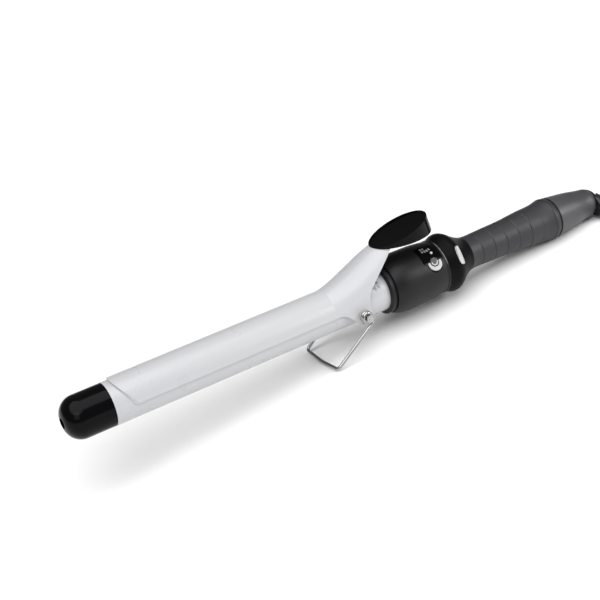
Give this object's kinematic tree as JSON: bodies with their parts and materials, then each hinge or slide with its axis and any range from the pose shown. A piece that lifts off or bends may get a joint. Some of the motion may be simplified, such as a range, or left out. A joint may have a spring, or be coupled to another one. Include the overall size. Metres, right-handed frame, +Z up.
{
  "type": "curling iron",
  "caption": "Curling iron at rest on its folding wire stand: coated barrel with sprung clamp, control head, ribbed grip and a swivel mains cord.",
  "frame": {"origin": "Middle of the tool's length and width, at table height, without the cord boot, cord, hank and plug.", "axes": "+X runs from the heated tip to the swivel, +Z is up, and -Y is the side with the controls. The tool leans nose up as it rests on its stand."},
  "size_m": [0.5787, 0.08, 0.0596],
  "materials": {
    "aluminium": "as extruded",
    "board_green": "solder mask",
    "brass": "bright brass",
    "ceramic": "fired ceramic",
    "ceramic_coat": "semi-gloss off-white ceramic coat",
    "chip_black": "moulded",
    "chrome": "polished chrome",
    "copper": "bright copper alloy",
    "cord_pvc": "satin black PVC",
    "glass_bead": "glassy bead",
    "gloss_black": "glossy black",
    "grip_rubber": "satin dark grey rubber",
    "light_white": "translucent white",
    "nylon": "natural nylon",
    "satin_black": "satin black, soft to the touch",
    "seam_grey": "satin grey",
    "silicone_wire": "silicone insulation",
    "silver": "fine brushed silver",
    "spring_steel": "bright spring wire",
    "steel": "plain steel"
  },
  "bodies": {
    "cord_side": {"swivel_rotor": "satin_black", "slip_rings": "copper", "cord_boot": "cord_pvc", "mains_cord": "cord_pvc", "cord_hank": "cord_pvc", "hank_tie": "cord_pvc", "plug_body": "cord_pvc", "plug_pins": "brass"},
    "handle": {"barrel_tube": "ceramic_coat", "tip_cap": "gloss_black", "tip_screw": "steel", "heat_spreader_upper": "aluminium", "heat_spreader_lower": "aluminium", "heater_element": "ceramic", "temperature_sensor": "glass_bead", "thermal_fuse": "steel", "lead_wires": "silicone_wire", "pivot_block": "steel", "lead_insulator": "ceramic", "barrel_flange": "steel", "pivot_screws": "chrome", "pivot_washers": "nylon", "clamp_spring": "spring_steel", "spring_saddle": "steel", "spring_pin": "steel", "front_ring": "satin_black", "head_housing": "satin_black", "control_window": "gloss_black", "indicator_bars": "light_white", "status_light": "light_white", "button_ring": "silver", "power_switch": "chip_black", "control_board": "board_green", "board_parts": "chip_black", "seam_ring": "seam_grey", "collar": "satin_black", "oval_switch": "chip_black", "grip_core_upper": "nylon", "grip_core_lower": "nylon", "grip_sleeve": "grip_rubber", "end_ring": "satin_black", "end_cap": "satin_black", "swivel_bush": "nylon", "core_screws": "steel", "supply_leads": "silicone_wire", "brush_holder": "nylon", "brushes": "copper"},
    "clamp": {"clamp": "ceramic_coat", "thumb_rest": "gloss_black", "thumb_rest_screws": "steel", "stop_post": "grip_rubber"},
    "stand": {"stand": "chrome"},
    "power_button": {"power_button": "gloss_black"},
    "oval_button": {"oval_button": "chrome"}
  },
  "joints": [
    {"name": "cord_swivel", "type": "hinge", "parent": "cord_side", "child": "handle", "pos_m": [0.17795, 0, 0.01039], "axis": [0.9954, 0, -0.0953], "continuous": true},
    {"name": "clamp_hinge", "type": "hinge", "parent": "handle", "child": "clamp", "pos_m": [-0.00455, 0, 0.02435], "axis": [0, 1, 0], "range_deg": [0, 6], "stiffness_Nm_per_rad": 0.5, "springref_deg": -34.38, "deforming": ["clamp_spring"]},
    {"name": "stand_hinge", "type": "hinge", "parent": "handle", "child": "stand", "pos_m": [-0.00455, 0, 0.02435], "axis": [0, 1, 0], "range_deg": [-105, 0]},
    {"name": "power_press", "type": "slide", "parent": "handle", "child": "power_button", "axis": [-0.0547, 0.8192, -0.571], "range_m": [0, 0.0006], "stiffness_N_per_m": 1500, "springref_m": -0.0003},
    {"name": "oval_press", "type": "slide", "parent": "handle", "child": "oval_button", "axis": [-0.5548, 0.7347, -0.3904], "range_m": [0, 0.0008], "stiffness_N_per_m": 1500, "springref_m": -0.0003}
  ]
}
